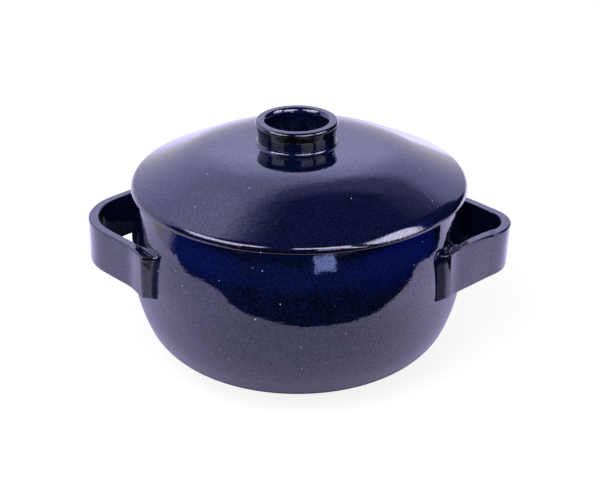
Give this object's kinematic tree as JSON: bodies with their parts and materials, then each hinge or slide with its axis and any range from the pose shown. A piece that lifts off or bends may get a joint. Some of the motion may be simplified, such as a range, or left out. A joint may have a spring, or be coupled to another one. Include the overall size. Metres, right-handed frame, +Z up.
{
  "type": "lidded casserole pot",
  "caption": "Round-bellied ceramic casserole pot with strap handles and a domed lift-off lid with a hollow ring knob.",
  "frame": {"origin": "centre of the foot's resting face", "axes": "+Z up, +X along the line through both handles, -Y the front"},
  "size_m": [0.305, 0.2402, 0.1865],
  "materials": {
    "cobalt_glaze": "gloss",
    "bare_stoneware": "matte"
  },
  "bodies": {
    "pot": {"pot_body": "cobalt_glaze", "foot_ring": "bare_stoneware", "handle_left": "cobalt_glaze", "handle_right": "cobalt_glaze"},
    "lid": {"lid_dome": "cobalt_glaze", "lid_flange": "bare_stoneware", "lid_knob": "cobalt_glaze"}
  },
  "joints": [
    {"name": "lid_lift", "type": "slide", "parent": "pot", "child": "lid", "axis": [0, 0, 1], "range_m": [0, 0.15]}
  ]
}
